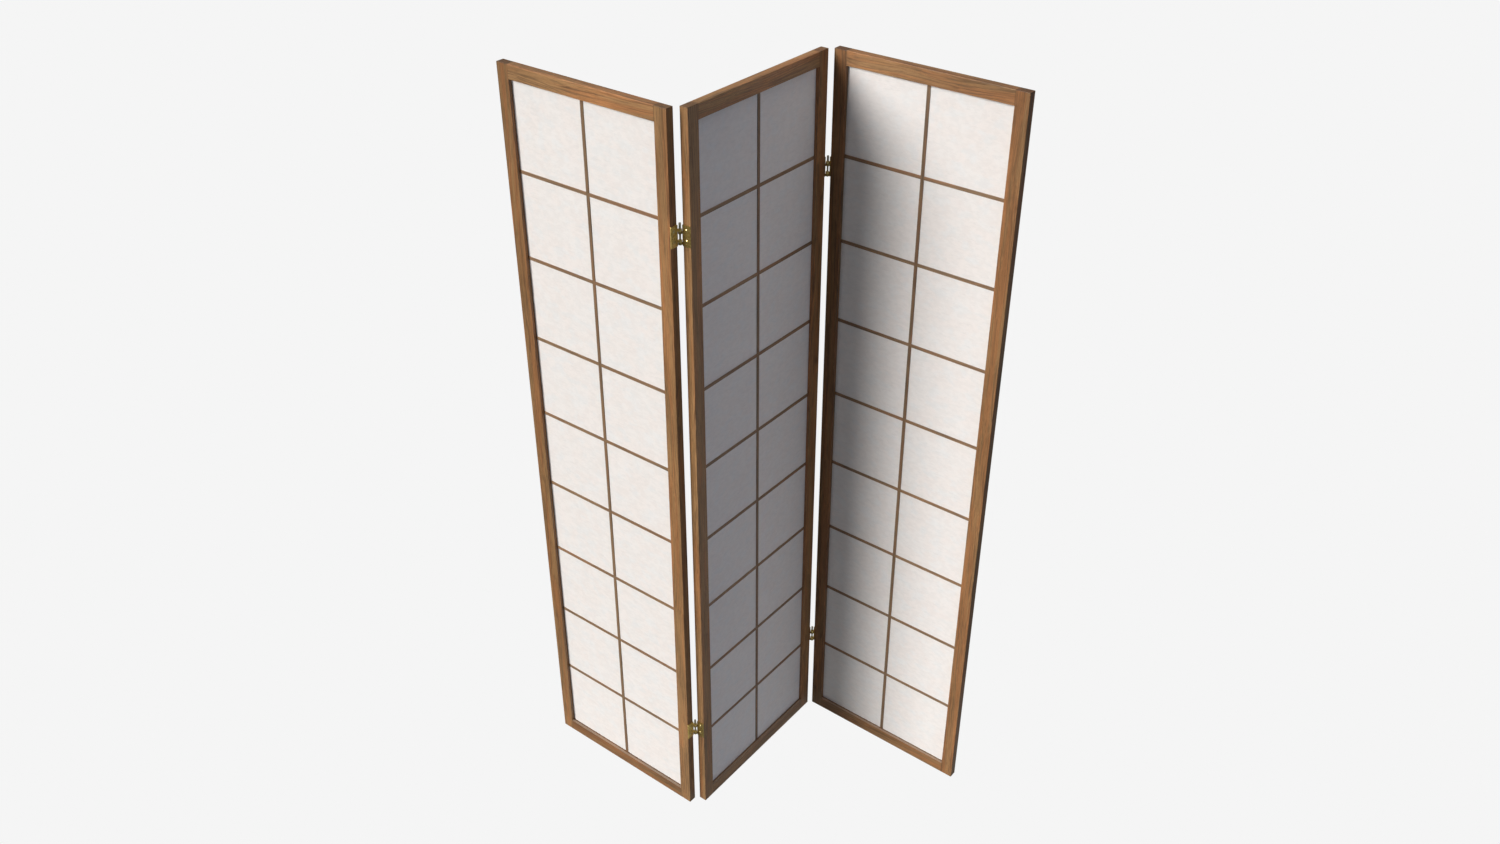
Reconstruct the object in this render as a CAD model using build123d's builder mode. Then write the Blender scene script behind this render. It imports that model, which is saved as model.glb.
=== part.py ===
from build123d import *
import os

# A free-standing folding screen: three wooden panels joined edge to edge by loose-pin butt hinges.
# Frame: +Z up, the viewer stands on the -Y side, origin on the floor under the middle panel's centre.
# The screen stands in a zigzag with a right angle at each fold.
# Each panel has its own plane: x from its left edge to its right edge, y towards its back, z up.

# ---- Driving dimensions, mm ----

# panel frame
HEIGHT = 1778.0
WIDTH = 432.0
THICKNESS = 19.0
STILE_WIDTH = 29.5
TOP_RAIL = 30.0
BOTTOM_RAIL = 30.5
EDGE_ROUND = 1.0

# tenons of the rails, in blind mortises of the stiles
TENON_LENGTH = 20.0
TENON_THICKNESS = 5.0
TENON_SHOULDER = 6.0
MORTISE_GAP = 0.5

# back rebate for the paper, and the lip of wood left in front of it
REBATE = 7.0
LIP = 8.4

# lattice bars: flat strips, their backs level with the rebate
ROWS = 9
BAR_WIDTH = 7.4
BAR_THICKNESS = 1.4
BAR_STUB = 5.0

# paper, and the beads and brads that hold it
PAPER_THICKNESS = 0.3
PAPER_LAP = 6.0
BEAD_THICKNESS = 7.0
BEAD_GAP = 0.2
LONG_BEAD_BRADS = 7
SHORT_BEAD_BRADS = 4
BRAD_RADIUS = 0.6
BRAD_LENGTH = 13.0
BRAD_HEAD_RADIUS = 0.9
BRAD_HEAD = 0.4

# butt hinge: the pin's axis stands off the panel's edge and its face by PIN_OFFSET,
# and the leaves stand LEAF_RISE above the knuckles' middle
PIN_OFFSET = 4.0
HINGE_HEIGHTS = {"upper": 1525.0, "lower": 239.0}
LEAF_HEIGHT = 44.0
LEAF_RISE = 3.5
LEAF_THICKNESS = 2.0
LEAF_CORNER = 1.5
KNUCKLE_SPAN = 31.8
KNUCKLE_WINDOW = 13.2
KNUCKLE_GAP = 0.3
PIN_CLEARANCE = 0.05
PIN_HEAD_RADIUS = 2.3
PIN_HEAD_HEIGHT = 13.0
PIN_HEAD_ROUND = 1.2
PIN_TAIL = 1.4
PIN_TAIL_CHAMFER = 0.5

# raised-head countersunk wood screws
SCREW_SPACING = 22.0
SCREW_HEAD_RADIUS = 3.7
SCREW_DOME = 1.4
SCREW_CONE = 1.8
SCREW_RADIUS = 1.75
SCREW_LENGTH = 20.0
SCREW_TIP = 5.0
SLOT_WIDTH = 1.0
SLOT_DEPTH = 1.0
SCREW_GAP = 0.05

# ---- Worked-out places ----

UP = Vector(0, 0, 1)
along = Vector(1, 1, 0).normalized()
back = Vector(-1, 1, 0).normalized()

sight_half = WIDTH / 2 - STILE_WIDTH
sight_top = HEIGHT - TOP_RAIL
pitch = (sight_top - BOTTOM_RAIL) / ROWS
cross_heights = [BOTTOM_RAIL + pitch * row for row in range(1, ROWS)]

front_face = -THICKNESS / 2
shelf = front_face + LIP
rebate_depth = THICKNESS - LIP
bar_y = shelf - BAR_THICKNESS / 2
lap = BAR_THICKNESS / 2
tenon_y = shelf - TENON_THICKNESS / 2
bead_back = shelf + PAPER_THICKNESS + BEAD_THICKNESS

left_pin = back * (THICKNESS / 2 + PIN_OFFSET) - along * (WIDTH / 2 + PIN_OFFSET)
right_pin = -left_pin
left_centre = left_pin + back * (WIDTH / 2 + PIN_OFFSET) - along * (THICKNESS / 2 + PIN_OFFSET)

panels = {
    "left": Plane(origin=left_centre, x_dir=-back, z_dir=UP),
    "middle": Plane(origin=(0, 0, 0), x_dir=along, z_dir=UP),
    "right": Plane(origin=-left_centre, x_dir=-back, z_dir=UP),
}
# which edges of each panel carry hinges: -1 is the left edge, 1 the right edge
hinged_edges = {"left": (1,), "middle": (-1, 1), "right": (-1,)}


def elevation(panel, depth):
    """The plane parallel to the panel's face at that local y, x across, y up, facing the front."""
    return Plane(
        origin=panel.origin + panel.y_dir * depth, x_dir=panel.x_dir, z_dir=-panel.y_dir
    )


def edge_face(panel, side, height):
    """The plane on a stile's outer edge at that height, facing out of the panel."""
    outward = panel.x_dir * side
    return Plane(
        origin=panel.origin + outward * (WIDTH / 2) + UP * height, x_dir=UP, z_dir=outward
    )


def screw_heights():
    """Heights of the hinge screws on one stile edge."""
    offsets = (LEAF_RISE - SCREW_SPACING / 2, LEAF_RISE + SCREW_SPACING / 2)
    return [height + offset for height in HINGE_HEIGHTS.values() for offset in offsets]


# ---- Panel pieces ----


def make_stile(panel, side):
    """A full-height stile, with its mortises, bar housings, rebate and screw holes."""
    across = Axis(panel.origin, panel.x_dir)
    through = Axis(panel.origin, panel.y_dir)
    with BuildPart() as stile:
        with BuildSketch(panel):
            with Locations((side * (WIDTH - STILE_WIDTH) / 2, 0)):
                Rectangle(STILE_WIDTH, THICKNESS)
        extrude(amount=HEIGHT)
        outer = Axis(panel.origin, panel.x_dir * side)
        corners = stile.edges().filter_by(Axis.Z).sort_by(outer)[-2:]
        corners += stile.edges().filter_by(through).sort_by(outer)[-2:]
        fillet(corners + stile.edges().filter_by(across), EDGE_ROUND)

        with BuildSketch(panel.offset(BOTTOM_RAIL - REBATE)):
            with Locations((side * (sight_half + REBATE / 2), shelf + rebate_depth / 2)):
                Rectangle(REBATE, rebate_depth)
        extrude(amount=sight_top - BOTTOM_RAIL + 2 * REBATE, mode=Mode.SUBTRACT)

        mortise_length = TENON_LENGTH + MORTISE_GAP
        for low, high in (tenon_span(0, BOTTOM_RAIL), tenon_span(HEIGHT, sight_top)):
            with BuildSketch(panel.offset(low)):
                with Locations((side * (sight_half + mortise_length / 2), tenon_y)):
                    Rectangle(mortise_length, TENON_THICKNESS)
            extrude(amount=high - low, mode=Mode.SUBTRACT)

        for height in cross_heights:
            with BuildSketch(panel.offset(height - BAR_WIDTH / 2)):
                with Locations((side * (sight_half + BAR_STUB / 2), bar_y)):
                    Rectangle(BAR_STUB, BAR_THICKNESS)
            extrude(amount=BAR_WIDTH, mode=Mode.SUBTRACT)

        if side in hinged_edges[panel_name(panel)]:
            for height in screw_heights():
                with BuildSketch(edge_face(panel, side, height)):
                    Circle(SCREW_RADIUS + SCREW_GAP)
                extrude(amount=-(SCREW_LENGTH - LEAF_THICKNESS), mode=Mode.SUBTRACT)
    return stile.part


def panel_name(panel):
    """The name that a panel's plane is kept under."""
    return next(name for name, plane in panels.items() if plane is panel)


def tenon_span(outer, sight):
    """Lowest and highest z of a rail's tenon, from the rail's outer and sight edges."""
    inward = 1 if sight > outer else -1
    ends = (outer + inward * TENON_SHOULDER, sight - inward * MORTISE_GAP)
    return min(ends), max(ends)


def make_rail(panel, outer, sight):
    """A rail between the stiles, from its outer edge to its sight edge, with a tenon at each end."""
    low, high = min(outer, sight), max(outer, sight)
    inward = 1 if sight > outer else -1
    across = Axis(panel.origin, panel.x_dir)
    with BuildPart() as rail:
        with BuildSketch(panel.offset(low)):
            Rectangle(2 * sight_half, THICKNESS)
        extrude(amount=high - low)
        outer_edges = rail.edges().filter_by(across).sort_by(Axis.Z)
        fillet(outer_edges[:2] if inward > 0 else outer_edges[-2:], EDGE_ROUND)

        with BuildSketch(panel.offset(min(sight, sight - inward * REBATE))):
            with Locations((0, shelf + rebate_depth / 2)):
                Rectangle(2 * sight_half, rebate_depth)
        extrude(amount=REBATE, mode=Mode.SUBTRACT)

        tenon_low, tenon_high = tenon_span(outer, sight)
        with BuildSketch(panel.offset(tenon_low)):
            with Locations((0, tenon_y)):
                Rectangle(2 * (sight_half + TENON_LENGTH), TENON_THICKNESS)
        extrude(amount=tenon_high - tenon_low)

        with BuildSketch(panel.offset(min(sight, sight - inward * BAR_STUB))):
            with Locations((0, bar_y)):
                Rectangle(BAR_WIDTH, BAR_THICKNESS)
        extrude(amount=BAR_STUB, mode=Mode.SUBTRACT)
    return rail.part


def make_upright_bar(panel):
    """The upright lattice bar, lapped from behind where each cross bar passes."""
    with BuildPart() as bar:
        with BuildSketch(panel.offset(BOTTOM_RAIL - BAR_STUB)):
            with Locations((0, bar_y)):
                Rectangle(BAR_WIDTH, BAR_THICKNESS)
        extrude(amount=sight_top - BOTTOM_RAIL + 2 * BAR_STUB)
        for height in cross_heights:
            with BuildSketch(panel.offset(height - BAR_WIDTH / 2)):
                with Locations((0, shelf - lap / 2)):
                    Rectangle(BAR_WIDTH, lap)
            extrude(amount=BAR_WIDTH, mode=Mode.SUBTRACT)
    return bar.part


def make_cross_bars(panel):
    """The horizontal lattice bars, lapped from the front where the upright passes."""
    with BuildPart() as bars:
        for height in cross_heights:
            with BuildSketch(panel.offset(height - BAR_WIDTH / 2)):
                with Locations((0, bar_y)):
                    Rectangle(2 * (sight_half + BAR_STUB), BAR_THICKNESS)
                with Locations((0, shelf - BAR_THICKNESS + lap / 2)):
                    Rectangle(BAR_WIDTH, lap, mode=Mode.SUBTRACT)
            extrude(amount=BAR_WIDTH)
    return bars.part


def make_paper(panel):
    """The sheet of paper, lapped onto the rebate's shelf all round."""
    with BuildPart() as paper:
        with BuildSketch(elevation(panel, shelf + PAPER_THICKNESS)):
            with Locations((0, (sight_top + BOTTOM_RAIL) / 2)):
                Rectangle(2 * (sight_half + PAPER_LAP), sight_top - BOTTOM_RAIL + 2 * PAPER_LAP)
        extrude(amount=PAPER_THICKNESS)
    return paper.part


def make_beads(panel):
    """Two long and two short beads that fill the rebate behind the paper."""
    window_height = sight_top - BOTTOM_RAIL
    middle_height = (sight_top + BOTTOM_RAIL) / 2
    with BuildPart() as beads:
        with BuildSketch(elevation(panel, bead_back)):
            with Locations(
                (-sight_half - REBATE / 2, middle_height), (sight_half + REBATE / 2, middle_height)
            ):
                Rectangle(REBATE, window_height + 2 * REBATE)
            with Locations((0, BOTTOM_RAIL - REBATE / 2), (0, sight_top + REBATE / 2)):
                Rectangle(2 * (sight_half - BEAD_GAP), REBATE)
        extrude(amount=BEAD_THICKNESS)
    return beads.part


def brad_places():
    """Places of the brads across and up the panel, evenly spaced along the beads."""
    side_x = sight_half + REBATE / 2
    gap = (sight_top - BOTTOM_RAIL) / LONG_BEAD_BRADS
    heights = [BOTTOM_RAIL + gap * (turn + 0.5) for turn in range(LONG_BEAD_BRADS)]
    places = [(side * side_x, height) for side in (-1, 1) for height in heights]
    gap = 2 * sight_half / SHORT_BEAD_BRADS
    offsets = [gap * (turn + 0.5) - sight_half for turn in range(SHORT_BEAD_BRADS)]
    ends = (BOTTOM_RAIL - REBATE / 2, sight_top + REBATE / 2)
    return places + [(offset, height) for height in ends for offset in offsets]


def make_brads(panel):
    """The brads, driven through the beads and the paper's edge into the lip of the frame."""
    with BuildPart() as brads:
        with BuildSketch(elevation(panel, bead_back)):
            with Locations(*brad_places()):
                Circle(BRAD_RADIUS)
        extrude(amount=BRAD_LENGTH)
        with BuildSketch(elevation(panel, bead_back + BRAD_HEAD)):
            with Locations(*brad_places()):
                Circle(BRAD_HEAD_RADIUS)
        extrude(amount=BRAD_HEAD)
    return brads.part


# ---- Hinges ----

knuckle_band = (KNUCKLE_SPAN - KNUCKLE_WINDOW) / 2
knuckle_height = (knuckle_band - KNUCKLE_GAP) / 2
bore_radius = PIN_OFFSET - LEAF_THICKNESS
pin_radius = bore_radius - PIN_CLEARANCE


def rise(leaf):
    """How far a leaf's plate stands above the knuckles' middle, along the leaf's own z."""
    return LEAF_RISE if leaf.z_dir.Z > 0 else -LEAF_RISE


def make_leaf(leaf):
    """A leaf rolled round the pin. The plane's origin is on the pin at the knuckles' middle.

    Its x points into the wood and its y across the panel's edge. The leaf has the upper knuckle
    of each pair, so the knuckles of one turned upside down are the lower ones and mesh with them.
    """
    plate_x = PIN_OFFSET - LEAF_THICKNESS / 2
    with BuildPart() as part:
        with BuildSketch(leaf.offset(rise(leaf) - LEAF_HEIGHT / 2)):
            with Locations((plate_x, PIN_OFFSET + THICKNESS / 2)):
                Rectangle(LEAF_THICKNESS, THICKNESS)
        extrude(amount=LEAF_HEIGHT)
        fillet(part.edges().filter_by(Axis(leaf.origin, leaf.x_dir)), LEAF_CORNER)
        for top in (KNUCKLE_SPAN / 2, -KNUCKLE_WINDOW / 2):
            with BuildSketch(leaf.offset(top - knuckle_height)):
                Circle(PIN_OFFSET)
                with Locations((plate_x, PIN_OFFSET / 2)):
                    Rectangle(LEAF_THICKNESS, PIN_OFFSET + 2 * LEAF_CORNER)
                Circle(bore_radius, mode=Mode.SUBTRACT)
            extrude(amount=knuckle_height)
        for height in (-SCREW_SPACING / 2, SCREW_SPACING / 2):
            with Locations(screw_seat(leaf, rise(leaf) + height)):
                CounterSinkHole(
                    radius=SCREW_RADIUS + SCREW_GAP,
                    counter_sink_radius=SCREW_HEAD_RADIUS + SCREW_GAP,
                    depth=2 * LEAF_THICKNESS,
                )
    return part.part


def screw_seat(leaf, height):
    """The plane on a leaf's free face at a screw's centre, facing out of the wood."""
    across = leaf.x_dir * bore_radius + leaf.y_dir * (PIN_OFFSET + THICKNESS / 2)
    return Plane(
        origin=leaf.origin + across + leaf.z_dir * height, x_dir=leaf.z_dir, z_dir=-leaf.x_dir
    )


def make_screws(leaves):
    """The screws of the hinge leaves on one stile edge: two in each leaf."""
    with BuildPart() as screws:
        for leaf in leaves:
            for height in (-SCREW_SPACING / 2, SCREW_SPACING / 2):
                seat = screw_seat(leaf, rise(leaf) + height)
                section = Plane(origin=seat.origin, x_dir=seat.x_dir, z_dir=seat.y_dir)
                with BuildSketch(section):
                    with BuildLine():
                        Line((0, -SCREW_DOME), (0, SCREW_LENGTH))
                        Line((0, SCREW_LENGTH), (SCREW_RADIUS, SCREW_LENGTH - SCREW_TIP))
                        Line((SCREW_RADIUS, SCREW_LENGTH - SCREW_TIP), (SCREW_RADIUS, SCREW_CONE))
                        Line((SCREW_RADIUS, SCREW_CONE), (SCREW_HEAD_RADIUS, 0))
                        TangentArc((0, -SCREW_DOME), (SCREW_HEAD_RADIUS, 0), tangent=(1, 0))
                    make_face()
                revolve(axis=Axis(seat.origin, seat.z_dir))
                with BuildSketch(seat.offset(SCREW_DOME)):
                    Rectangle(2 * SCREW_HEAD_RADIUS, SLOT_WIDTH)
                extrude(amount=-SLOT_DEPTH, mode=Mode.SUBTRACT)
    return screws.part


def make_pin(foot):
    """A loose pin: a tall rounded head that rests on the top knuckle, and a shank through them all."""
    top = KNUCKLE_SPAN / 2
    tail = -KNUCKLE_SPAN / 2 - PIN_TAIL
    with BuildPart() as pin:
        with BuildSketch(foot.offset(tail)):
            Circle(pin_radius)
        extrude(amount=top - tail)
        chamfer(pin.edges().sort_by(Axis.Z)[0], PIN_TAIL_CHAMFER)
        with BuildSketch(foot.offset(top)):
            Circle(PIN_HEAD_RADIUS)
        extrude(amount=PIN_HEAD_HEIGHT)
        fillet(pin.edges().sort_by(Axis.Z)[-1], PIN_HEAD_ROUND)
    return pin.part


# ---- Make and write every piece ----

pieces = {}
for name, panel in panels.items():
    pieces[f"{name}_panel_left_stile"] = make_stile(panel, -1)
    pieces[f"{name}_panel_right_stile"] = make_stile(panel, 1)
    pieces[f"{name}_panel_top_rail"] = make_rail(panel, HEIGHT, sight_top)
    pieces[f"{name}_panel_bottom_rail"] = make_rail(panel, 0, BOTTOM_RAIL)
    pieces[f"{name}_panel_upright_bar"] = make_upright_bar(panel)
    pieces[f"{name}_panel_cross_bars"] = make_cross_bars(panel)
    pieces[f"{name}_panel_paper"] = make_paper(panel)
    pieces[f"{name}_panel_back_beads"] = make_beads(panel)
    pieces[f"{name}_panel_brads"] = make_brads(panel)

# Each fold line: its pin, and the way from the pin into the outer panel and into the middle panel.
folds = {"left": (left_pin, back, along), "right": (right_pin, -back, -along)}
for side, (pin_foot, outer_way, middle_way) in folds.items():
    outer_leaves = []
    middle_leaves = []
    for level, height in HINGE_HEIGHTS.items():
        centre = pin_foot + UP * height
        outer_leaves.append(Plane(origin=centre, x_dir=outer_way, z_dir=UP))
        middle_leaves.append(Plane(origin=centre, x_dir=middle_way, z_dir=-UP))
        hinge = f"{side}_{level}_hinge"
        pieces[f"{hinge}_outer_leaf"] = make_leaf(outer_leaves[-1])
        pieces[f"{hinge}_middle_leaf"] = make_leaf(middle_leaves[-1])
        pieces[f"{hinge}_pin"] = make_pin(Plane(origin=centre, z_dir=UP))
    pieces[f"{side}_panel_hinge_screws"] = make_screws(outer_leaves)
    pieces[f"middle_panel_{side}_hinge_screws"] = make_screws(middle_leaves)

os.makedirs("parts", exist_ok=True)
for name, piece in pieces.items():
    piece.label = name
    export_step(piece, f"parts/{name}.step")
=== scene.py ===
"""Looks for a three-panel folding screen of brown timber, white paper and brass hinges.

Lengths are in metres in the part's own frame. A panel's own directions are x across it, y to its
back and z up. A noise's scales are per metre, one along each of the directions that it is given.
"""

import math
import random

import bpy
from mathutils import Matrix, Vector, noise


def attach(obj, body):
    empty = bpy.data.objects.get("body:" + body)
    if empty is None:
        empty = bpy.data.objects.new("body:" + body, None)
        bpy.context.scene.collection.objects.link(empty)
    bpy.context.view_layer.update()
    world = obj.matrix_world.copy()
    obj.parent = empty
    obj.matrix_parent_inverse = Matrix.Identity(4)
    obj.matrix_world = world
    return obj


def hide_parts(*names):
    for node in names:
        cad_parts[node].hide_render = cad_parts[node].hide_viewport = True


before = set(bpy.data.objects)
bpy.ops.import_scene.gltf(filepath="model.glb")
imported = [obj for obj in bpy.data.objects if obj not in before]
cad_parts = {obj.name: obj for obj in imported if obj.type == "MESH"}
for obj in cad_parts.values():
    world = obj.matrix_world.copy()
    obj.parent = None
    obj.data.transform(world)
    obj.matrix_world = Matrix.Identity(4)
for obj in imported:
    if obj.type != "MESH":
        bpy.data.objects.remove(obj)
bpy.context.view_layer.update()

# ---- The object's layout ----

# degrees from the frame's x to each panel's own x
PANEL_TURNS = {"left": -45.0, "middle": 45.0, "right": -45.0}
FOLDS = ("left", "right")
LEVELS = ("upper", "lower")
LATTICE_COLUMNS = 2
LATTICE_ROWS = 9
PAPER_LAP = 0.006


def panel_turn(panel):
    """The rotation from a panel's own directions to the frame's."""
    return Matrix.Rotation(math.radians(PANEL_TURNS[panel]), 3, "Z")


def panel_box(node, panel):
    """Lowest and highest corner of a CAD node, measured in its panel's own directions."""
    to_panel = panel_turn(panel).inverted()
    points = [to_panel @ vertex.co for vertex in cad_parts[node].data.vertices]
    low = Vector([min(point[axis] for point in points) for axis in range(3)])
    high = Vector([max(point[axis] for point in points) for axis in range(3)])
    return low, high


# ---- Node helpers ----

# places of a Mix node's sockets when it mixes colours
MIX_FACTOR = 0
MIX_FIRST = 6
MIX_SECOND = 7
MIX_RESULT = 2


def add_node(tree, kind, inputs=None, **settings):
    """A new node of that kind. Each input is a value to hold or an output socket to link from."""
    made = tree.nodes.new(kind)
    for key, value in settings.items():
        setattr(made, key, value)
    for key, value in (inputs or {}).items():
        if isinstance(value, bpy.types.NodeSocket):
            tree.links.new(value, made.inputs[key])
        else:
            made.inputs[key].default_value = value
    return made


def calculate(tree, operation, first, second=0.0, third=0.0):
    """A Math node's result."""
    inputs = {0: first, 1: second, 2: third}
    return add_node(tree, "ShaderNodeMath", inputs, operation=operation).outputs[0]


def vector_math(tree, operation, first, second):
    """A Vector Math node's vector."""
    return add_node(tree, "ShaderNodeVectorMath", {0: first, 1: second}, operation=operation).outputs[0]


def stretched_noise(tree, vector, scales, detail=2.0, roughness=0.5, distortion=0.0):
    """Noise, about 0.3 to 0.7, with a scale of its own along each direction."""
    inputs = {
        "Vector": vector_math(tree, "MULTIPLY", vector, scales),
        "Scale": 1.0,
        "Detail": detail,
        "Roughness": roughness,
        "Distortion": distortion,
    }
    return add_node(tree, "ShaderNodeTexNoise", inputs).outputs["Fac"]


def remap(tree, value, from_low, from_high, to_low=0.0, to_high=1.0):
    """The value moved smoothly from one range to another, and kept inside it."""
    inputs = {
        "Value": value,
        "From Min": from_low,
        "From Max": from_high,
        "To Min": to_low,
        "To Max": to_high,
    }
    return add_node(tree, "ShaderNodeMapRange", inputs, interpolation_type="SMOOTHSTEP").outputs["Result"]


def colour_input(colour):
    """What a colour input takes: an output socket as it is, or red, green and blue with an alpha of 1."""
    return colour if isinstance(colour, bpy.types.NodeSocket) else (*colour, 1.0)


def mix_colours(tree, factor, first, second, blend="MIX"):
    """A colour mix. Colours are linear red, green and blue."""
    inputs = {MIX_FACTOR: factor, MIX_FIRST: colour_input(first), MIX_SECOND: colour_input(second)}
    return add_node(tree, "ShaderNodeMix", inputs, data_type="RGBA", blend_type=blend).outputs[MIX_RESULT]


def cover(tree, colour, mask, strength, top):
    """The colour with another over it, as strongly as the mask times the strength."""
    return mix_colours(tree, calculate(tree, "MULTIPLY", mask, strength), colour, top)


def shade(tree, colour, factor):
    """The colour times a number."""
    grey = add_node(tree, "ShaderNodeCombineColor", {0: factor, 1: factor, 2: factor}).outputs[0]
    return mix_colours(tree, 1.0, colour, grey, "MULTIPLY")


def panel_coordinates(tree, panel):
    """Coordinates along the panel's own directions."""
    place = add_node(tree, "ShaderNodeTexCoord").outputs["Object"]
    turn = (0.0, 0.0, -math.radians(PANEL_TURNS[panel]))
    return add_node(tree, "ShaderNodeMapping", {"Vector": place, "Rotation": turn}).outputs["Vector"]


def new_material(name):
    """An empty node material and its output node."""
    material = bpy.data.materials.new(name)
    material.use_nodes = True
    material.node_tree.nodes.clear()
    output = material.node_tree.nodes.new("ShaderNodeOutputMaterial")
    return material, output


def bumped(tree, height, distance):
    """A surface normal bumped by a height of 0 to 1, times distance."""
    return add_node(tree, "ShaderNodeBump", {"Height": height, "Distance": distance}).outputs["Normal"]


# ---- Timber ----

OLIVE_WOOD = (0.327, 0.177, 0.073)
ORANGE_WOOD = (0.368, 0.163, 0.061)
DARK_WOOD = (0.105, 0.054, 0.026)
FADED_WOOD = (0.250, 0.195, 0.145)

# noise scales across the stick, through it and along its grain
WANDER_SCALES = (9.0, 9.0, 2.2)
UNEVEN_SCALES = (150.0, 150.0, 6.0)
RING_FADE_SCALES = (90.0, 90.0, 4.0)
BAND_SCALES = (110.0, 110.0, 2.5)
CLOUD_SCALES = (35.0, 35.0, 6.0)
STREAK_SCALES = (330.0, 330.0, 7.0)
FIBRE_SCALES = (850.0, 850.0, 22.0)
PORE_SCALES = (2000.0, 2000.0, 85.0)

# the parts of a noise's values that a mask rises over
NOISE_BODY = (0.30, 0.70)
NOISE_MIDDLE = (0.38, 0.62)
STREAK_RISE = (0.54, 0.68)
PORE_RISE = (0.60, 0.70)

# how far the grain wanders across and through a stick
WANDER_REACH = (0.045, 0.045, 0.0)
RING_WIDTH = 0.0052
# by how many rings' width noise at its highest moves them
RING_SHIFT = 2.2
# where dark late wood begins and ends, as shares of a ring
LATE_WOOD_RISE = (0.35, 0.82)
LATE_WOOD_FALL = (0.88, 1.0)
RING_STRENGTH = (0.10, 1.0)
RING_COVER = 0.58
STREAK_COVER = 0.41
# how far a warmth of 0 to 1 moves the tone bands' noise
WARMTH_SHIFT = 0.30
CLOUD_TONES = (0.88, 1.14)
FIBRE_TONES = (0.84, 1.16)
PORE_TONES = (1.0, 0.70)

WOOD_ROUGHNESS = 0.40
FIBRE_ROUGHNESS = 0.14
PORE_ROUGHNESS = 0.20
FIBRE_HEIGHT = 0.25
PORE_HEIGHT = -0.75


def straying_grain(tree, vector):
    """The coordinates, moved by the slow wander of the grain."""
    scaled = vector_math(tree, "MULTIPLY", vector, WANDER_SCALES)
    inputs = {"Vector": scaled, "Scale": 1.0, "Detail": 3.0}
    wander = add_node(tree, "ShaderNodeTexNoise", inputs).outputs["Color"]
    centred = vector_math(tree, "SUBTRACT", wander, (0.5, 0.5, 0.5))
    return vector_math(tree, "ADD", vector, vector_math(tree, "MULTIPLY", centred, WANDER_REACH))


def ring_lines(tree, vector, strayed):
    """The late wood of growth rings round the z axis. It is stronger in some places than in others."""
    flat = vector_math(tree, "MULTIPLY", strayed, (1.0, 1.0, 0.0))
    radius = add_node(tree, "ShaderNodeVectorMath", {0: flat}, operation="LENGTH").outputs["Value"]
    uneven = stretched_noise(tree, strayed, UNEVEN_SCALES)
    even_rings = calculate(tree, "DIVIDE", radius, RING_WIDTH)
    age = calculate(tree, "FRACT", calculate(tree, "MULTIPLY_ADD", uneven, RING_SHIFT, even_rings))
    rise = remap(tree, age, *LATE_WOOD_RISE)
    fall = remap(tree, age, *LATE_WOOD_FALL, 1.0, 0.0)
    strength = remap(tree, stretched_noise(tree, vector, RING_FADE_SCALES), *NOISE_MIDDLE, *RING_STRENGTH)
    return calculate(tree, "MULTIPLY", calculate(tree, "MULTIPLY", rise, fall), strength)


def timber_group():
    """Colour, roughness and height of sawn timber. Vector is in metres, with the grain along z.

    Growth rings stand round a pith on the z axis, and wander slowly along the grain. Broad bands
    change the tone from olive to orange, and dark streaks, fine fibres and pores run along the grain.
    """
    group = bpy.data.node_groups.new("timber", "ShaderNodeTree")
    sockets = (
        ("Vector", "INPUT", "NodeSocketVector"),
        ("Warmth", "INPUT", "NodeSocketFloat"),
        ("Color", "OUTPUT", "NodeSocketColor"),
        ("Roughness", "OUTPUT", "NodeSocketFloat"),
        ("Height", "OUTPUT", "NodeSocketFloat"),
    )
    for name, way, kind in sockets:
        group.interface.new_socket(name, in_out=way, socket_type=kind)
    given = group.nodes.new("NodeGroupInput").outputs
    vector = given["Vector"]
    strayed = straying_grain(group, vector)

    leaning = calculate(group, "MULTIPLY_ADD", given["Warmth"], WARMTH_SHIFT, -WARMTH_SHIFT / 2)
    bands = calculate(group, "ADD", stretched_noise(group, strayed, BAND_SCALES), leaning)
    clouds = stretched_noise(group, vector, CLOUD_SCALES, detail=1.0)
    streaks = stretched_noise(group, strayed, STREAK_SCALES, detail=2.5, roughness=0.6)
    fibres = stretched_noise(group, strayed, FIBRE_SCALES, detail=3.0, roughness=0.65)
    fibres = remap(group, fibres, *NOISE_BODY)
    pores = remap(group, stretched_noise(group, vector, PORE_SCALES, detail=1.0), *PORE_RISE)

    colour = mix_colours(group, remap(group, bands, *NOISE_MIDDLE), OLIVE_WOOD, ORANGE_WOOD)
    colour = cover(group, colour, ring_lines(group, vector, strayed), RING_COVER, DARK_WOOD)
    colour = cover(group, colour, remap(group, streaks, *STREAK_RISE), STREAK_COVER, DARK_WOOD)
    colour = shade(group, colour, remap(group, clouds, *NOISE_BODY, *CLOUD_TONES))
    colour = shade(group, colour, remap(group, fibres, 0.0, 1.0, *FIBRE_TONES))
    colour = shade(group, colour, remap(group, pores, 0.0, 1.0, *PORE_TONES))

    roughness = calculate(group, "MULTIPLY_ADD", fibres, FIBRE_ROUGHNESS, WOOD_ROUGHNESS)
    roughness = calculate(group, "MULTIPLY_ADD", pores, PORE_ROUGHNESS, roughness)
    sunk = calculate(group, "MULTIPLY", pores, PORE_HEIGHT)
    height = calculate(group, "MULTIPLY_ADD", fibres, FIBRE_HEIGHT, sunk)
    add_node(group, "NodeGroupOutput", {"Color": colour, "Roughness": roughness, "Height": height})
    return group


TIMBER = timber_group()
# how far a log's pith is from the middle of the piece, and how high up the log the piece is cut
PITH_DISTANCES = (0.050, 0.130)
LOG_HEIGHTS = (2.0, 40.0)
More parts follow.
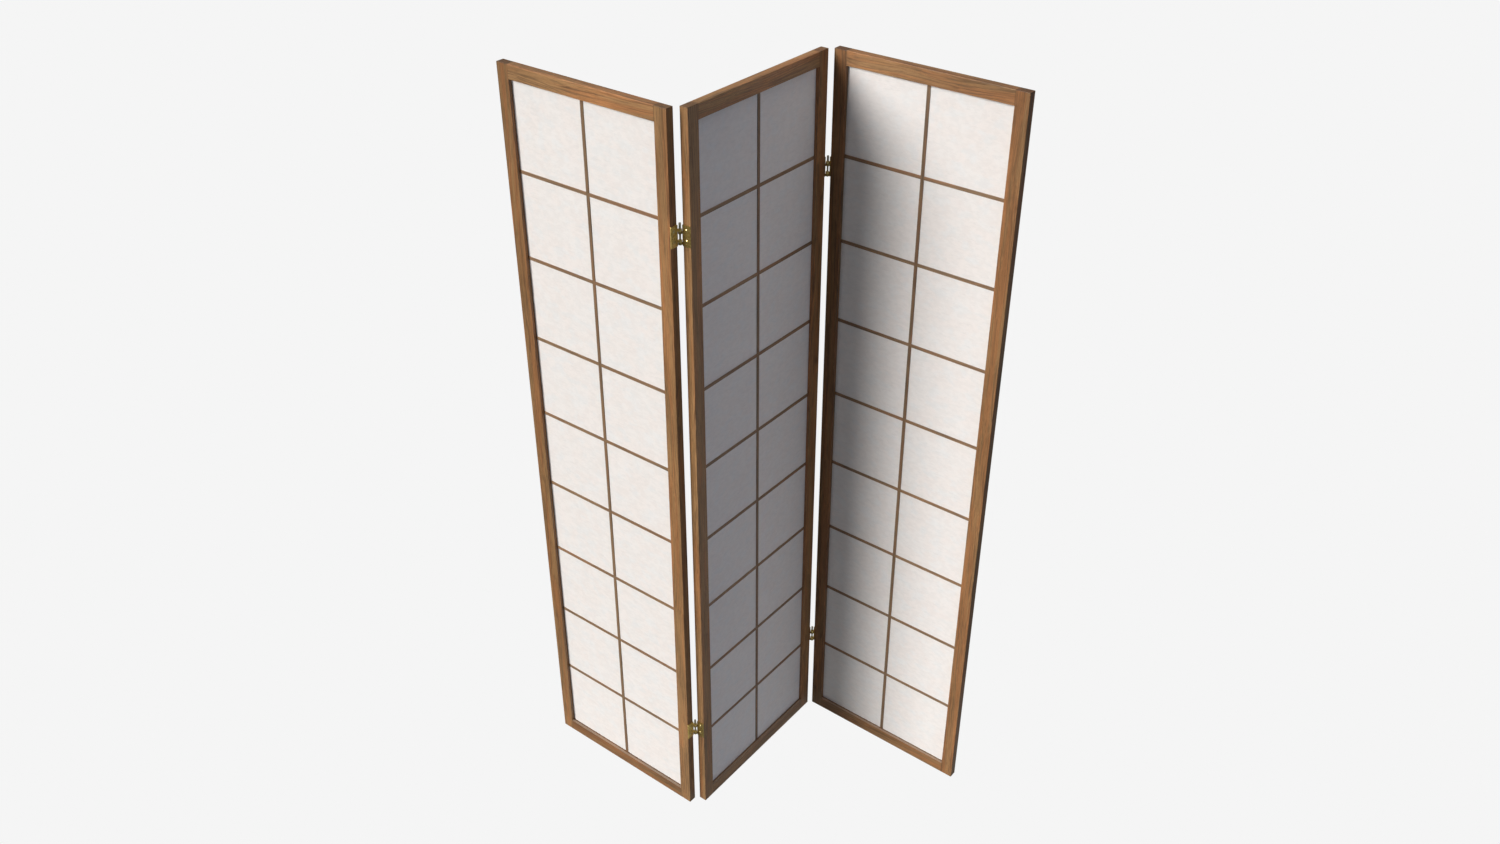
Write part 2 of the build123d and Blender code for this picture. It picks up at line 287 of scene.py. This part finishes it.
# degrees that the grain leans from a piece's length, at most
GRAIN_TILT = 1.3
GRAIN_RELIEF = 0.00008
WOOD_SPECULAR = 0.4

# the dark line at the end of a piece's seen length: a glue line and a painted shadow line where a rail
# meets a stile, and the darker end grain at a stile's ends
JOINT_LINE = 0.0008
JOINT_SHADE = 0.66
# the lighter long edges, worn in patches
ARRIS_WIDTH = 0.0016
ARRIS_GLOW = 0.22
WEAR_SCALES = (160.0, 160.0, 30.0)
WEAR_RISE = (0.35, 0.65)
# the ledge on top of a bottom rail: how thin a skin it is, and how far behind the rail's front the
# painted light on it ends and the painted shadow in its corner by the paper begins
LEDGE_SKIN = 0.0005
PAINTED_LIGHT_FALL = (0.0045, 0.0060)
PAINTED_SHADOW_RISE = (0.0055, 0.0070)
# painted light: the lighter, greyer colour painted on the front of the ledge; then how strongly the
# painted light and the painted shadow are laid on
PAINTED_LEDGE_LIGHT = (0.46, 0.37, 0.29)
PAINTED_LIGHT_COVER = 0.45
PAINTED_SHADOW_COVER = 0.50


def piece_coordinates(tree, panel, centre, lying):
    """Coordinates from the middle of a piece, with z along its grain.

    A lying piece's grain runs across the panel, so its own x is up.
    """
    local = vector_math(tree, "SUBTRACT", panel_coordinates(tree, panel), centre)
    if not lying:
        return local
    parts = add_node(tree, "ShaderNodeSeparateXYZ", {0: local}).outputs
    return add_node(tree, "ShaderNodeCombineXYZ", {0: parts[2], 1: parts[1], 2: parts[0]}).outputs[0]


def log_coordinates(tree, local, draw):
    """The same coordinates from the pith of the piece's own log, which leans a little."""
    bearing = draw.uniform(0.0, 2.0 * math.pi)
    distance = draw.uniform(*PITH_DISTANCES)
    pith = (distance * math.cos(bearing), distance * math.sin(bearing), draw.uniform(*LOG_HEIGHTS))
    lean_across = math.radians(draw.uniform(-GRAIN_TILT, GRAIN_TILT))
    lean_through = math.radians(draw.uniform(-GRAIN_TILT, GRAIN_TILT))
    inputs = {"Vector": local, "Rotation": (lean_across, lean_through, 0.0), "Location": pith}
    return add_node(tree, "ShaderNodeMapping", inputs).outputs["Vector"]


def worn_edges(tree, local, across, through, half_across, half_through):
    """How light a piece's surface is: 1 on its faces, and up to ARRIS_GLOW more along its long edges."""
    near_side = remap(tree, across, half_across - ARRIS_WIDTH, half_across, 0.0, ARRIS_GLOW)
    near_face = remap(tree, through, half_through - ARRIS_WIDTH, half_through)
    worn = remap(tree, stretched_noise(tree, local, WEAR_SCALES, detail=3.0), *WEAR_RISE)
    return calculate(tree, "MULTIPLY_ADD", calculate(tree, "MULTIPLY", near_side, near_face), worn, 1.0)


def ledge_painted_light_and_shadow(tree, colour, across, through, half_across, half_through):
    """Painted light on the front of a rail's upper face, and painted shadow by the paper."""
    ledge = remap(tree, across, half_across - LEDGE_SKIN, half_across - LEDGE_SKIN / 2)
    depth = calculate(tree, "ADD", through, half_through)
    painted_light = remap(tree, depth, *PAINTED_LIGHT_FALL, PAINTED_LIGHT_COVER, 0.0)
    painted_shadow = remap(tree, depth, *PAINTED_SHADOW_RISE, 0.0, PAINTED_SHADOW_COVER)
    colour = cover(tree, colour, ledge, painted_light, PAINTED_LEDGE_LIGHT)
    return shade(tree, colour, calculate(tree, "SUBTRACT", 1.0, calculate(tree, "MULTIPLY", ledge, painted_shadow)))


def timber_material(
    name, panel, low, high, lightness, warmth, draw, lying=False, reach=None, faded=0.0, ledge=False
):
    """Timber for one piece, cut from its own place in its own log.

    It is darker where its seen length ends: a glue line with a painted shadow line at a joint, and its
    own darker end grain. It is a little lighter where handling has worn its long edges. low and high
    are the piece's corners, reach is half its seen length, faded is how far its colour has gone to
    grey, and ledge is whether its top gets painted light, with painted shadow in the corner by the paper.
    """
    material, output = new_material(name)
    tree = material.node_tree
    local = piece_coordinates(tree, panel, (low + high) / 2, lying)
    timber = add_node(tree, "ShaderNodeGroup", node_tree=TIMBER)
    tree.links.new(log_coordinates(tree, local, draw), timber.inputs["Vector"])
    timber.inputs["Warmth"].default_value = warmth
    half = (high - low) / 2
    half_across, half_along = (half.z, half.x) if lying else (half.x, half.z)
    reach = reach or half_along
    parts = add_node(tree, "ShaderNodeSeparateXYZ", {0: local}).outputs
    across, through, along = [calculate(tree, "ABSOLUTE", part) for part in parts]
    # a dark glue line and a painted shadow line where a rail meets a stile, and darker end grain at a
    # stile's ends
    end_tones = (lightness, lightness * JOINT_SHADE)
    end = remap(tree, along, reach - 2.0 * JOINT_LINE, reach - JOINT_LINE, *end_tones)
    worn = worn_edges(tree, local, across, through, half_across, half.y)
    colour = mix_colours(tree, faded, timber.outputs["Color"], FADED_WOOD)
    colour = shade(tree, colour, calculate(tree, "MULTIPLY", end, worn))
    # bottom rails: painted light on the ledge, and painted shadow in its corner by the paper
    if ledge:
        colour = ledge_painted_light_and_shadow(tree, colour, parts[0], parts[1], half_across, half.y)
    inputs = {
        "Base Color": colour,
        "Roughness": timber.outputs["Roughness"],
        "Normal": bumped(tree, timber.outputs["Height"], GRAIN_RELIEF),
        "Specular IOR Level": WOOD_SPECULAR,
    }
    surface = add_node(tree, "ShaderNodeBsdfPrincipled", inputs)
    tree.links.new(surface.outputs["BSDF"], output.inputs["Surface"])
    return material


# ---- Paper ----

PAPER_COLOUR = (0.830, 0.790, 0.758)
PAPER_SHADOW = (0.700, 0.675, 0.650)
PAPER_BLUSH = (0.835, 0.775, 0.735)
PAPER_COOL = (0.800, 0.790, 0.775)

# noise scales across the panel, through it and up it
BLUSH_SCALES = (24.0, 24.0, 24.0)
CHILL_SCALES = (31.0, 31.0, 45.0)
PULP_SCALES = (70.0, 70.0, 110.0)
STROKE_SCALES = (46.0, 46.0, 330.0)
STRAND_SCALES = (260.0, 260.0, 1500.0)
CHILL_RISE = (0.48, 0.68)
STROKE_RISE = (0.56, 0.70)
STRAND_RISE = (0.52, 0.66)

BLUSH_COVER = 0.7
CHILL_COVER = 0.6
STROKE_COVER = 0.28
STRAND_COVER = 0.09
PULP_TONES = (0.975, 1.022)
PAPER_ROUGHNESS = (0.72, 0.86)
PAPER_SPECULAR = 0.15
PAPER_RELIEF = 0.00012
STRAND_HEIGHT = 0.6
PULP_HEIGHT = 0.4
PAPER_SHEERNESS = 0.10

SHEET_COLUMNS = 48
SHEET_ROWS = 216
SHEET_WIDTH = SHEET_COLUMNS + 1
SHEET_THICKNESS = 0.0003
COCKLE_DEPTH = 0.0004
COCKLE_SIZE = 0.055


def paper_material(name, panel):
    """Handmade paper: cloudy pulp, short faint strokes across the panel and fine long strands."""
    material, output = new_material(name)
    tree = material.node_tree
    vector = panel_coordinates(tree, panel)
    blush = remap(tree, stretched_noise(tree, vector, BLUSH_SCALES), *NOISE_MIDDLE)
    chill = remap(tree, stretched_noise(tree, vector, CHILL_SCALES), *CHILL_RISE)
    pulp = stretched_noise(tree, vector, PULP_SCALES, detail=3.0, roughness=0.65)
    pulp = remap(tree, pulp, *NOISE_BODY)
    strokes = stretched_noise(tree, vector, STROKE_SCALES, detail=2.5, distortion=1.0)
    strokes = remap(tree, strokes, *STROKE_RISE)
    strands = remap(tree, stretched_noise(tree, vector, STRAND_SCALES, distortion=1.5), *STRAND_RISE)
    colour = cover(tree, PAPER_COLOUR, blush, BLUSH_COVER, PAPER_BLUSH)
    colour = cover(tree, colour, chill, CHILL_COVER, PAPER_COOL)
    colour = cover(tree, colour, strokes, STROKE_COVER, PAPER_SHADOW)
    colour = cover(tree, colour, strands, STRAND_COVER, PAPER_SHADOW)
    colour = shade(tree, colour, remap(tree, pulp, 0.0, 1.0, *PULP_TONES))
    pulp_height = calculate(tree, "MULTIPLY", pulp, PULP_HEIGHT)
    height = calculate(tree, "MULTIPLY_ADD", strands, STRAND_HEIGHT, pulp_height)
    inputs = {
        "Base Color": colour,
        "Roughness": remap(tree, pulp, 0.0, 1.0, *PAPER_ROUGHNESS),
        "Normal": bumped(tree, height, PAPER_RELIEF),
        "Specular IOR Level": PAPER_SPECULAR,
    }
    front = add_node(tree, "ShaderNodeBsdfPrincipled", inputs).outputs["BSDF"]
    through = add_node(tree, "ShaderNodeBsdfTranslucent", {"Color": colour}).outputs["BSDF"]
    paper = add_node(tree, "ShaderNodeMixShader", {0: PAPER_SHEERNESS, 1: front, 2: through}).outputs[0]
    tree.links.new(paper, output.inputs["Surface"])
    return material


def cockle(across, up, window_low, window_high, seed):
    """How far the paper stands back at a place: still at the frame and the bars, and slack in between."""
    columns = (across - window_low.x) / (window_high.x - window_low.x) * LATTICE_COLUMNS
    rows = (up - window_low.z) / (window_high.z - window_low.z) * LATTICE_ROWS
    if not (0.0 < columns < LATTICE_COLUMNS and 0.0 < rows < LATTICE_ROWS):
        return 0.0
    slack = abs(math.sin(math.pi * columns) * math.sin(math.pi * rows))
    wave = noise.noise(Vector((across / COCKLE_SIZE, seed, up / COCKLE_SIZE)))
    return COCKLE_DEPTH * math.sqrt(slack) * wave


def sheet_points(low, high, to_frame, seed):
    """The points of the sheet's front face, row by row from the bottom, and then those of its back."""
    lap = Vector((PAPER_LAP, 0.0, PAPER_LAP))
    points = []
    for depth in (low.y, low.y + SHEET_THICKNESS):
        for row in range(SHEET_ROWS + 1):
            up = low.z + (high.z - low.z) * row / SHEET_ROWS
            for column in range(SHEET_COLUMNS + 1):
                across = low.x + (high.x - low.x) * column / SHEET_COLUMNS
                back = depth + cockle(across, up, low + lap, high - lap, seed)
                points.append(to_frame @ Vector((across, back, up)))
    return points


def sheet_faces():
    """The faces of the sheet's front and back, and of the narrow rim between them."""
    behind = SHEET_WIDTH * (SHEET_ROWS + 1)
    faces = []
    for row in range(SHEET_ROWS):
        for column in range(SHEET_COLUMNS):
            corner = row * SHEET_WIDTH + column
            front = (corner, corner + 1, corner + SHEET_WIDTH + 1, corner + SHEET_WIDTH)
            faces.append(front)
            faces.append(tuple(behind + index for index in reversed(front)))
    rim = list(range(SHEET_WIDTH))
    rim += [row * SHEET_WIDTH + SHEET_COLUMNS for row in range(1, SHEET_ROWS + 1)]
    rim += [SHEET_ROWS * SHEET_WIDTH + column for column in range(SHEET_COLUMNS - 1, -1, -1)]
    rim += [row * SHEET_WIDTH for row in range(SHEET_ROWS - 1, 0, -1)]
    for here, there in zip(rim, rim[1:] + rim[:1]):
        faces.append((there, here, behind + here, behind + there))
    return faces


def paper_sheet(panel, seed):
    """The panel's sheet of paper, in place of its plain CAD solid, as a thin closed mesh."""
    node = f"{panel}_panel_paper"
    low, high = panel_box(node, panel)
    mesh = bpy.data.meshes.new(f"{panel}_shoji_paper")
    mesh.from_pydata(sheet_points(low, high, panel_turn(panel), seed), [], sheet_faces())
    mesh.polygons.foreach_set("use_smooth", [True] * len(mesh.polygons))
    mesh.materials.append(paper_material(f"{panel}_paper", panel))
    sheet = bpy.data.objects.new(f"{panel}_shoji_paper", mesh)
    bpy.context.scene.collection.objects.link(sheet)
    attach(sheet, f"{panel}_panel")
    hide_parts(node)


# ---- Metal ----

TARNISH_SCALES = (260.0, 260.0, 260.0)
SCRATCH_SCALES = (3500.0, 3500.0, 260.0)
TARNISH_RISE = (0.35, 0.68)
SCRATCH_RISE = (0.45, 0.70)
TARNISH_ROUGHNESS = 0.14
SCRATCH_ROUGHNESS = 0.08
BRASS_RELIEF = 0.00002
FINE_RELIEF = 0.00001


def metal_material(name, bright, dull, roughness, relief):
    """Worn metal: patches of tarnish, fine scratches and uneven polish.

    bright is the clean metal's colour and dull the tarnish's.
    """
    material, output = new_material(name)
    tree = material.node_tree
    place = add_node(tree, "ShaderNodeTexCoord").outputs["Object"]
    tarnish = remap(tree, stretched_noise(tree, place, TARNISH_SCALES, detail=3.0), *TARNISH_RISE)
    scratches = remap(tree, stretched_noise(tree, place, SCRATCH_SCALES), *SCRATCH_RISE)
    rough = calculate(tree, "MULTIPLY_ADD", tarnish, TARNISH_ROUGHNESS, roughness)
    inputs = {
        "Base Color": mix_colours(tree, tarnish, bright, dull),
        "Metallic": 1.0,
        "Roughness": calculate(tree, "MULTIPLY_ADD", scratches, SCRATCH_ROUGHNESS, rough),
        "Normal": bumped(tree, scratches, relief),
    }
    surface = add_node(tree, "ShaderNodeBsdfPrincipled", inputs)
    tree.links.new(surface.outputs["BSDF"], output.inputs["Surface"])
    return material


# two copies of one brass: the outer leaves' made brighter as painted light, and the middle leaves' made
# darker as painted shade, for how light falls on each leaf
BRIGHTENED_BRASS = metal_material("hinge_brass", (0.95, 0.74, 0.27), (0.66, 0.47, 0.15), 0.44, BRASS_RELIEF)
DARKENED_BRASS = metal_material("darkened_hinge_brass", (0.56, 0.42, 0.15), (0.34, 0.22, 0.07), 0.38, BRASS_RELIEF)
SCREW_BRASS = metal_material("screw_brass", (0.86, 0.70, 0.32), (0.66, 0.48, 0.16), 0.26, FINE_RELIEF)
PIN_STEEL = metal_material("pin_steel", (0.62, 0.56, 0.40), (0.40, 0.36, 0.24), 0.46, FINE_RELIEF)
BRAD_STEEL = metal_material("brad_steel", (0.48, 0.47, 0.45), (0.26, 0.25, 0.24), 0.38, FINE_RELIEF)


# ---- Dressing the pieces ----

STANDING_PARTS = ("left_stile", "right_stile", "upright_bar", "back_beads")
LYING_PARTS = ("top_rail", "bottom_rail", "cross_bars")
LATTICE_PARTS = ("upright_bar", "cross_bars")
LATTICE_FADING = 0.34

# how light each stick of a panel is beside plain timber, and how far it leans from olive to orange
LOOKS = {
    "left_panel_left_stile": (0.75, 0.45),
    "left_panel_right_stile": (0.89, 0.30),
    "left_panel_top_rail": (1.00, 0.32),
    "left_panel_bottom_rail": (0.66, 0.50),
    "left_panel_upright_bar": (0.70, 0.30),
    "left_panel_cross_bars": (0.84, 0.35),
    "middle_panel_left_stile": (0.93, 0.30),
    "middle_panel_right_stile": (1.00, 0.60),
    "middle_panel_top_rail": (1.12, 0.40),
    "middle_panel_bottom_rail": (0.83, 0.20),
    "middle_panel_upright_bar": (0.70, 0.30),
    "middle_panel_cross_bars": (0.86, 0.35),
    "right_panel_left_stile": (0.66, 0.55),
    "right_panel_right_stile": (0.79, 0.60),
    "right_panel_top_rail": (0.93, 0.42),
    "right_panel_bottom_rail": (0.70, 0.55),
    "right_panel_upright_bar": (0.64, 0.30),
    "right_panel_cross_bars": (0.84, 0.35),
}
# the ranges that the other sticks' lightness and warmth are drawn from
OTHER_LIGHTNESS = (0.84, 0.94)
OTHER_WARMTH = (0.1, 0.5)

WOOD_SEED = 7
# each panel's place in the noise that makes its paper slack
FIRST_COCKLE = 1.3
COCKLE_STEP = 3.7


def dress(node, material):
    """Gives a CAD node its material, in every slot it has."""
    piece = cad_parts[node]
    if not piece.material_slots:
        piece.data.materials.append(material)
    for index in range(len(piece.data.materials)):
        piece.data.materials[index] = material


def dress_panel(panel, draw):
    """Timber for each stick of a panel, and its brads."""
    right_shoulder = panel_box(f"{panel}_panel_right_stile", panel)[0].x
    left_shoulder = panel_box(f"{panel}_panel_left_stile", panel)[1].x
    for part in STANDING_PARTS + LYING_PARTS:
        node = f"{panel}_panel_{part}"
        low, high = panel_box(node, panel)
        # every stick draws a look, so that a new entry in LOOKS changes no other stick
        drawn_look = (draw.uniform(*OTHER_LIGHTNESS), draw.uniform(*OTHER_WARMTH))
        lightness, warmth = LOOKS.get(node, drawn_look)
        lying = part in LYING_PARTS
        material = timber_material(
            node,
            panel,
            low,
            high,
            lightness,
            warmth,
            draw,
            lying=lying,
            reach=(right_shoulder - left_shoulder) / 2 if lying else None,
            faded=LATTICE_FADING if part in LATTICE_PARTS else 0.0,
            # bottom rails get painted light on their ledge and painted shadow by the paper
            ledge=part == "bottom_rail",
        )
        dress(node, material)
    dress(f"{panel}_panel_brads", BRAD_STEEL)


seeds = random.Random(WOOD_SEED)
for number, name in enumerate(PANEL_TURNS):
    dress_panel(name, seeds)
    paper_sheet(name, seed=COCKLE_STEP * number + FIRST_COCKLE)
for side in FOLDS:
    for level in LEVELS:
        hinge = f"{side}_{level}_hinge"
        # painted light on the outer leaf's brass, painted shade on the middle leaf's
        dress(f"{hinge}_outer_leaf", BRIGHTENED_BRASS)
        dress(f"{hinge}_middle_leaf", DARKENED_BRASS)
        dress(f"{hinge}_pin", PIN_STEEL)
    dress(f"{side}_panel_hinge_screws", SCREW_BRASS)
    dress(f"middle_panel_{side}_hinge_screws", SCREW_BRASS)

# ---- Floor, light and camera ----

STUDIO_WHITE = 0.9131
STAGE_RADIUS = 14.0
STAGE_CURVE = 5.0
STAGE_HEIGHT = 12.0
STAGE_SIDES = 96
STAGE_STEPS = 12


def stage_profile():
    """Radius and height of each ring of the stage, from the flat floor up to the top of the backdrop."""
    profile = [(STAGE_RADIUS - STAGE_CURVE, 0.0)]
    for step in range(1, STAGE_STEPS + 1):
        angle = math.radians(90.0 * step / STAGE_STEPS)
        radius = STAGE_RADIUS - STAGE_CURVE + STAGE_CURVE * math.sin(angle)
        profile.append((radius, STAGE_CURVE * (1.0 - math.cos(angle))))
    profile.append((STAGE_RADIUS, STAGE_HEIGHT))
    return profile


def studio_material():
    """Even white, whatever light falls on it."""
    material, output = new_material("studio_white")
    tree = material.node_tree
    inputs = {"Color": (STUDIO_WHITE, STUDIO_WHITE, STUDIO_WHITE, 1.0), "Strength": 1.0}
    glow = add_node(tree, "ShaderNodeEmission", inputs)
    tree.links.new(glow.outputs[0], output.inputs["Surface"])
    return material


def make_stage():
    """A plain pale floor that curves up into a plain backdrop all round."""
    profile = stage_profile()
    points = [(0.0, 0.0, 0.0)]
    for radius, height in profile:
        for place in range(STAGE_SIDES):
            angle = 2.0 * math.pi * place / STAGE_SIDES
            points.append((radius * math.cos(angle), radius * math.sin(angle), height))
    faces = []
    for here in range(STAGE_SIDES):
        there = (here + 1) % STAGE_SIDES
        faces.append((0, 1 + here, 1 + there))
        for ring in range(len(profile) - 1):
            low = 1 + ring * STAGE_SIDES
            high = low + STAGE_SIDES
            faces.append((low + here, high + here, high + there, low + there))
    mesh = bpy.data.meshes.new("studio_floor")
    mesh.from_pydata(points, [], faces)
    mesh.polygons.foreach_set("use_smooth", [True] * len(mesh.polygons))
    mesh.materials.append(studio_material())
    floor = bpy.data.objects.new("studio_floor", mesh)
    bpy.context.scene.collection.objects.link(floor)
    floor.visible_diffuse = False
    floor.visible_glossy = False
    floor.visible_transmission = False
    floor.visible_shadow = False


# the key light's travel over the floor, the degrees at which it comes down, and its look
KEY_HEADING = Vector((0.938, 0.346, 0.0))
KEY_DROP = 25.0
KEY_STRENGTH = 3.91
KEY_COLOUR = (1.0, 0.989, 0.979)
KEY_SPREAD = 27.0
# the soft light of the room: the way each patch comes from, its strength in red, green and blue,
# and its narrowness, where 1 spreads over half the room
FILL_PATCHES = (
    ((0.0, 0.0, 1.0), (0.20, 0.17, 0.13), 1.0),
    ((0.0, 0.0, 1.0), (0.50, 0.52, 0.56), 5.0),
    ((0.0, 0.0, -1.0), (0.16, 0.18, 0.14), 1.0),
    ((0.71, -0.71, 0.0), (0.144, 0.171, 0.250), 1.0),
    ((0.0, 0.94, 0.34), (0.25, 0.25, 0.26), 2.0),
)
BOUNCE_RADIUS = 0.8
BOUNCE_STRENGTH = 0.85
BOUNCE_HEIGHT = 0.002


def make_key():
    """A large soft lamp from the left."""
    key = bpy.data.lights.new("key_light", "SUN")
    key.energy = KEY_STRENGTH
    key.color = KEY_COLOUR
    key.angle = math.radians(KEY_SPREAD)
    lamp = bpy.data.objects.new("key_light", key)
    bpy.context.scene.collection.objects.link(lamp)
    drop = math.radians(KEY_DROP)
    travel = KEY_HEADING.normalized() * math.cos(drop) - Vector((0.0, 0.0, math.sin(drop)))
    lamp.rotation_euler = travel.to_track_quat("-Z", "Y").to_euler()


def make_fill():
    """The even light of a white room, brightest from above."""
    world = bpy.data.worlds.new("studio_fill")
    world.use_nodes = True
    tree = world.node_tree
    direction = add_node(tree, "ShaderNodeTexCoord").outputs["Generated"]
    total = (0.0, 0.0, 0.0)
    for source, strength, narrowness in FILL_PATCHES:
        inputs = {0: direction, 1: Vector(source).normalized()}
        facing = add_node(tree, "ShaderNodeVectorMath", inputs, operation="DOT_PRODUCT").outputs["Value"]
        lobe = calculate(tree, "POWER", calculate(tree, "MAXIMUM", facing, 0.0), narrowness)
        inputs = {0: strength, "Scale": lobe}
        patch = add_node(tree, "ShaderNodeVectorMath", inputs, operation="SCALE").outputs[0]
        total = vector_math(tree, "ADD", patch, total)
    tree.links.new(total, tree.nodes["Background"].inputs["Color"])
    bpy.context.scene.world = world


def make_bounce():
    """The light that the floor near the screen throws back up."""
    bounce = bpy.data.lights.new("floor_bounce", "AREA")
    bounce.shape = "DISK"
    bounce.size = 2.0 * BOUNCE_RADIUS
    bounce.energy = BOUNCE_STRENGTH
    lamp = bpy.data.objects.new("floor_bounce", bounce)
    lamp.location = (0.0, 0.0, BOUNCE_HEIGHT)
    lamp.rotation_euler = (math.pi, 0.0, 0.0)
    lamp.visible_camera = False
    bpy.context.scene.collection.objects.link(lamp)


# the camera's place, the degrees that it looks right of the frame's y and up from level, its focal
# length in millimetres, and how far it sees
CAMERA_PLACE = (-0.317795, -2.435266, 2.597208)
CAMERA_HEADING = 7.079
CAMERA_PITCH = -32.954
CAMERA_LENS = 32.167
CAMERA_RANGE = 100.0


def make_camera():
    """The camera, above and in front of the screen, looking down at it."""
    camera = bpy.data.cameras.new("camera")
    camera.lens = CAMERA_LENS
    camera.clip_end = CAMERA_RANGE
    holder = bpy.data.objects.new("camera", camera)
    holder.location = CAMERA_PLACE
    holder.rotation_euler = (math.radians(90.0 + CAMERA_PITCH), 0.0, -math.radians(CAMERA_HEADING))
    bpy.context.scene.collection.objects.link(holder)
    bpy.context.scene.camera = holder


make_stage()
make_key()
make_fill()
make_bounce()
make_camera()
bpy.context.scene.view_settings.view_transform = "Standard"
